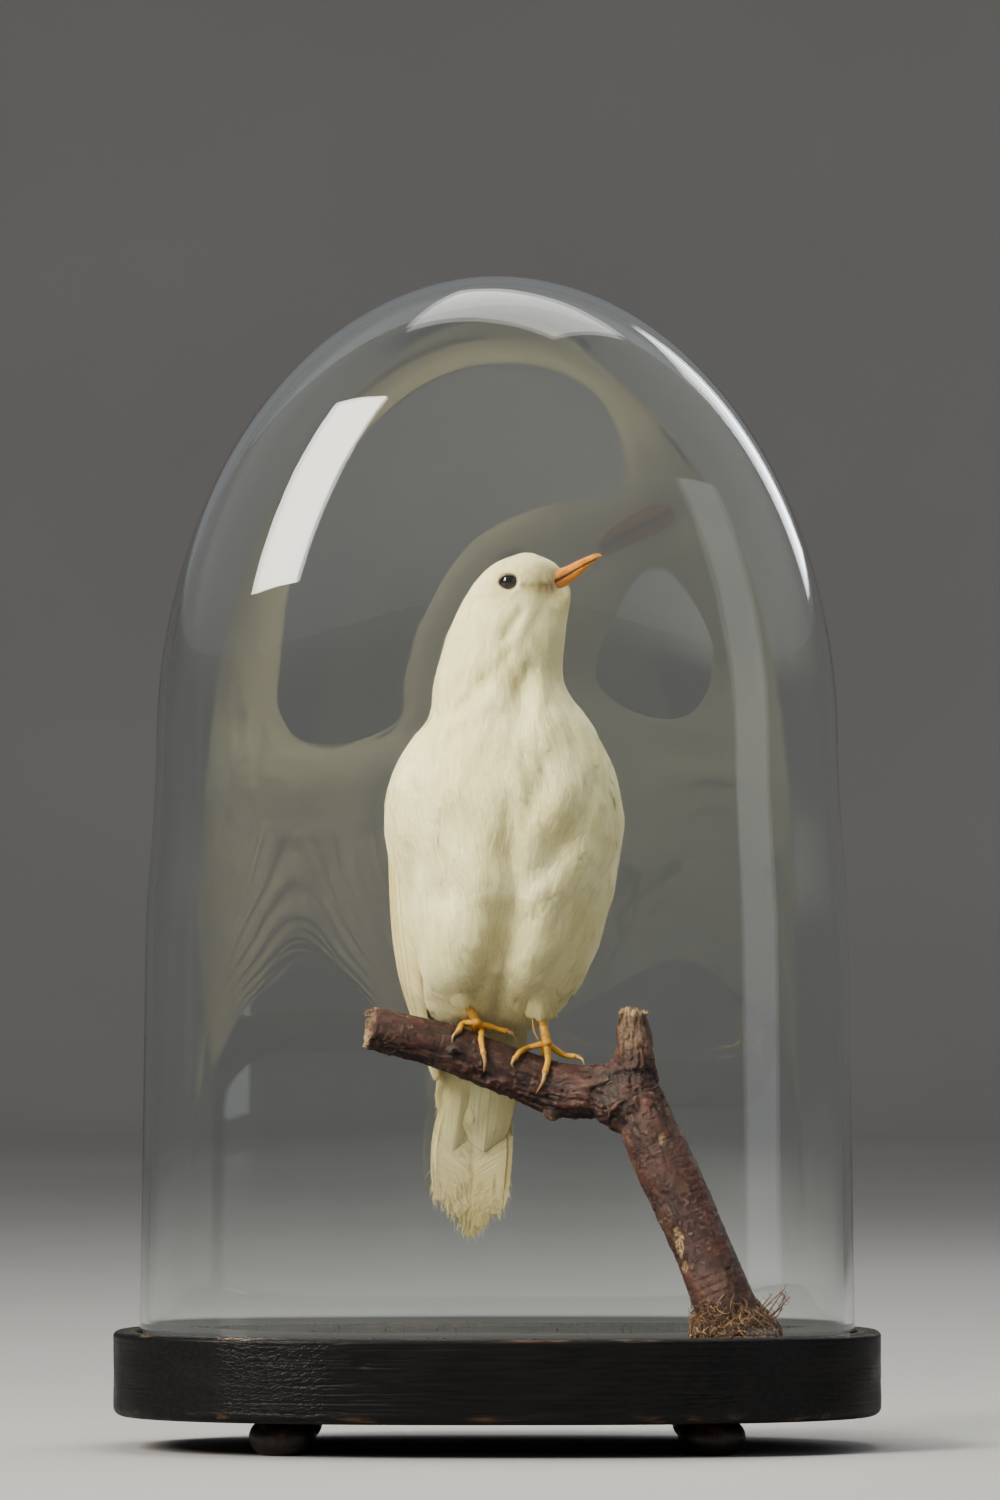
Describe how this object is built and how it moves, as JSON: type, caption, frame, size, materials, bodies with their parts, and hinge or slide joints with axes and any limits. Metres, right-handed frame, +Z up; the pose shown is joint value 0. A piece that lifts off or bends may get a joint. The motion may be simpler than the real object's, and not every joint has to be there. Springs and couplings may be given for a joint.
{
  "type": "bell jar dome",
  "caption": "Oval glass shade lifting off an ebonised wooden base with bun feet, over a mounted white blackbird on a branch.",
  "frame": {"origin": "centre of the footprint, on the surface that the four feet stand on", "axes": "+X to the viewer's right along the base's long side, +Y away from the viewer, +Z up"},
  "size_m": [0.276, 0.166, 0.422],
  "materials": {
    "shade_glass": "polished",
    "ebonised_wood": "satin",
    "foot_wood": "gloss",
    "steel": "satin",
    "bark": "matte",
    "dried_moss": "matte",
    "wood_wool": "matte",
    "bone": "matte",
    "bill_horn": "satin",
    "eye_glass": "polished",
    "body_feathers": "matte",
    "flight_feathers": "matte",
    "leg_skin": "satin",
    "claw_horn": "satin"
  },
  "bodies": {
    "stand": {"base_board": "ebonised_wood", "foot_front_left": "foot_wood", "foot_front_right": "foot_wood", "foot_rear_left": "foot_wood", "foot_rear_right": "foot_wood", "branch_screw": "steel", "branch": "bark", "moss_tuft": "dried_moss", "body_form": "wood_wool", "neck_wire": "steel", "neck_wrap": "wood_wool", "skull": "bone", "bill_upper": "bill_horn", "bill_lower": "bill_horn", "eye_left": "eye_glass", "eye_right": "eye_glass", "plumage": "body_feathers", "tail_wire": "steel", "leg_left": "leg_skin", "leg_right": "leg_skin", "claws_left": "claw_horn", "claws_right": "claw_horn", "leg_wire_left": "steel", "leg_wire_right": "steel", "wing_coverts_left": "flight_feathers", "wing_secondaries_left": "flight_feathers", "wing_primaries_left": "flight_feathers", "tail_feather_left_1": "flight_feathers", "tail_feather_left_2": "flight_feathers", "tail_feather_left_3": "flight_feathers", "tail_feather_left_4": "flight_feathers", "tail_feather_left_5": "flight_feathers", "tail_feather_left_6": "flight_feathers", "wing_coverts_right": "flight_feathers", "wing_secondaries_right": "flight_feathers", "wing_primaries_right": "flight_feathers", "tail_feather_right_1": "flight_feathers", "tail_feather_right_2": "flight_feathers", "tail_feather_right_3": "flight_feathers", "tail_feather_right_4": "flight_feathers", "tail_feather_right_5": "flight_feathers", "tail_feather_right_6": "flight_feathers"},
    "shade": {"glass_dome": "shade_glass"}
  },
  "joints": [
    {"name": "dome_lift", "type": "slide", "parent": "stand", "child": "shade", "axis": [0, 0, 1], "range_m": [0, 0.32]}
  ]
}
